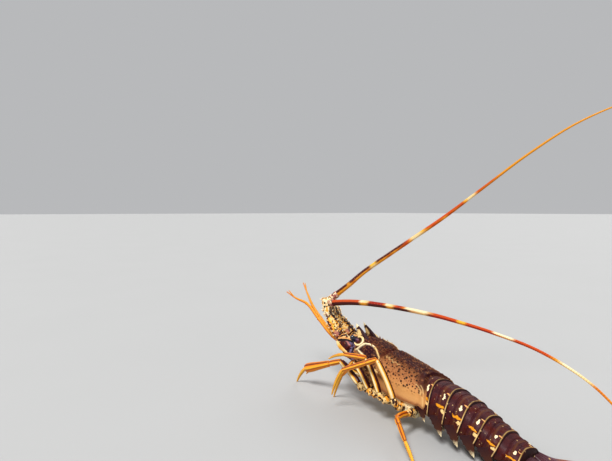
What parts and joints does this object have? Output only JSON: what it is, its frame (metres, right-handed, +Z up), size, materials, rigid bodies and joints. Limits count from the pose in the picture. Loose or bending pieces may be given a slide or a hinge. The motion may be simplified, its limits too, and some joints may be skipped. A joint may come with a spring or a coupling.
{
  "type": "spiny lobster model",
  "caption": "Life-size spiny lobster standing on the floor, tail fan spread, long antennae swept up and back over the body.",
  "frame": {"origin": "centre of the bounding box, on the floor that the feet and tail fan stand on", "axes": "+Z up, head towards -X, tail towards +X, the animal's left side towards -Y"},
  "size_m": [0.5528, 0.3322, 0.4287],
  "materials": {
    "shell": "satin shell, salmon-brown with dark spots and pale marks",
    "head_shell": "satin shell, mottled cream, orange and dark purple",
    "pale_shell": "satin cream underside",
    "abdomen_shell": "satin shell, purple-maroon with cream lines and white marks",
    "tail_fan": "satin, banded maroon and orange",
    "eye": "glossy blue-black",
    "whip": "satin maroon and orange-red with pale bands",
    "antennule": "satin orange",
    "leg_shell": "satin orange with dark red stripes, cream thighs"
  },
  "bodies": {
    "root": {"abdomen_1": "abdomen_shell", "abdomen_2": "abdomen_shell", "abdomen_3": "abdomen_shell", "abdomen_4": "abdomen_shell", "abdomen_5": "abdomen_shell", "abdomen_6": "abdomen_shell", "antenna_left_carpus": "head_shell", "antenna_left_merus": "head_shell", "antenna_left_whip_1": "whip", "antenna_left_whip_2": "whip", "antenna_left_whip_3": "whip", "antenna_right_carpus": "head_shell", "antenna_right_merus": "head_shell", "antenna_right_whip_1": "whip", "antenna_right_whip_2": "whip", "antenna_right_whip_3": "whip", "antennule_left": "antennule", "antennule_right": "antennule", "carapace": "shell", "eye_left": "eye", "eye_right": "eye", "head_front": "head_shell", "leg_left_1_dactyl": "leg_shell", "leg_left_1_shank": "leg_shell", "leg_left_1_thigh": "leg_shell", "leg_left_2_dactyl": "leg_shell", "leg_left_2_shank": "leg_shell", "leg_left_2_thigh": "leg_shell", "leg_left_3_dactyl": "leg_shell", "leg_left_3_shank": "leg_shell", "leg_left_3_thigh": "leg_shell", "leg_left_4_dactyl": "leg_shell", "leg_left_4_shank": "leg_shell", "leg_left_4_thigh": "leg_shell", "leg_left_5_dactyl": "leg_shell", "leg_left_5_shank": "leg_shell", "leg_left_5_thigh": "leg_shell", "leg_right_1_dactyl": "leg_shell", "leg_right_1_shank": "leg_shell", "leg_right_1_thigh": "leg_shell", "leg_right_2_dactyl": "leg_shell", "leg_right_2_shank": "leg_shell", "leg_right_2_thigh": "leg_shell", "leg_right_3_dactyl": "leg_shell", "leg_right_3_shank": "leg_shell", "leg_right_3_thigh": "leg_shell", "leg_right_4_dactyl": "leg_shell", "leg_right_4_shank": "leg_shell", "leg_right_4_thigh": "leg_shell", "leg_right_5_dactyl": "leg_shell", "leg_right_5_shank": "leg_shell", "leg_right_5_thigh": "leg_shell", "maxilliped_left": "leg_shell", "maxilliped_right": "leg_shell", "sternum": "pale_shell", "telson": "tail_fan", "uropod_inner_left": "tail_fan", "uropod_inner_right": "tail_fan", "uropod_outer_left": "tail_fan", "uropod_outer_right": "tail_fan"}
  },
  "joints": []
}
